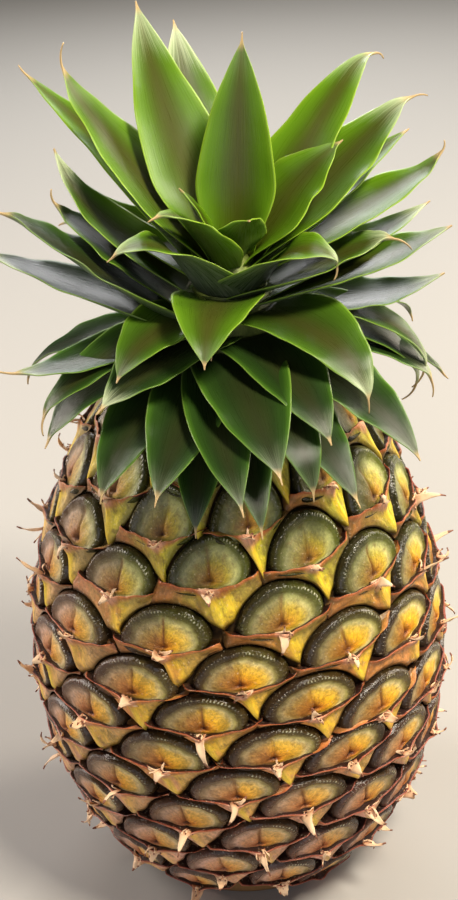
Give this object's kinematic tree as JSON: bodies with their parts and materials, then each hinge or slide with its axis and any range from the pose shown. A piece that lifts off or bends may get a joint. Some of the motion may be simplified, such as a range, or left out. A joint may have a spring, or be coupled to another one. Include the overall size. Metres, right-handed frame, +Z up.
{
  "type": "pineapple",
  "caption": "Whole fresh pineapple standing on its trimmed base: barrel-shaped fruit with spiralling eyes and thorny bracts, and a leafy crown.",
  "frame": {"origin": "centre of the flat trimmed base, on the surface the fruit stands on", "axes": "+Z up the core to the crown, -Y towards the front, +X to the viewer's right"},
  "size_m": [0.1368, 0.1414, 0.2641],
  "materials": {
    "rind": "satin, waxy eyes over dry bracts",
    "collar_leaf": "satin, waxy",
    "crown_leaf": "satin, waxy",
    "young_leaf": "satin, waxy",
    "stalk": "matt, dry cut"
  },
  "bodies": {
    "root": {"fruit": "rind", "stalk_end": "stalk", "crown_stem": "young_leaf", "leaf_01": "collar_leaf", "leaf_02": "collar_leaf", "leaf_03": "collar_leaf", "leaf_04": "collar_leaf", "leaf_05": "collar_leaf", "leaf_06": "collar_leaf", "leaf_07": "collar_leaf", "leaf_08": "collar_leaf", "leaf_09": "collar_leaf", "leaf_10": "collar_leaf", "leaf_11": "collar_leaf", "leaf_12": "collar_leaf", "leaf_13": "collar_leaf", "leaf_14": "collar_leaf", "leaf_15": "collar_leaf", "leaf_16": "collar_leaf", "leaf_17": "collar_leaf", "leaf_18": "collar_leaf", "leaf_19": "collar_leaf", "leaf_20": "collar_leaf", "leaf_21": "collar_leaf", "leaf_22": "crown_leaf", "leaf_23": "crown_leaf", "leaf_24": "crown_leaf", "leaf_25": "crown_leaf", "leaf_26": "crown_leaf", "leaf_27": "crown_leaf", "leaf_28": "crown_leaf", "leaf_29": "crown_leaf", "leaf_30": "crown_leaf", "leaf_31": "crown_leaf", "leaf_32": "crown_leaf", "leaf_33": "crown_leaf", "leaf_34": "crown_leaf", "leaf_35": "crown_leaf", "leaf_36": "crown_leaf", "leaf_37": "crown_leaf", "leaf_38": "crown_leaf", "leaf_39": "crown_leaf", "leaf_40": "crown_leaf", "leaf_41": "crown_leaf", "leaf_42": "crown_leaf", "leaf_43": "crown_leaf", "leaf_44": "crown_leaf", "leaf_45": "crown_leaf", "leaf_46": "crown_leaf", "leaf_47": "crown_leaf", "leaf_48": "crown_leaf", "leaf_49": "crown_leaf", "leaf_50": "crown_leaf", "leaf_51": "crown_leaf", "leaf_52": "crown_leaf", "leaf_53": "crown_leaf", "leaf_54": "crown_leaf", "leaf_55": "crown_leaf", "leaf_56": "crown_leaf", "leaf_57": "crown_leaf"}
  },
  "joints": []
}
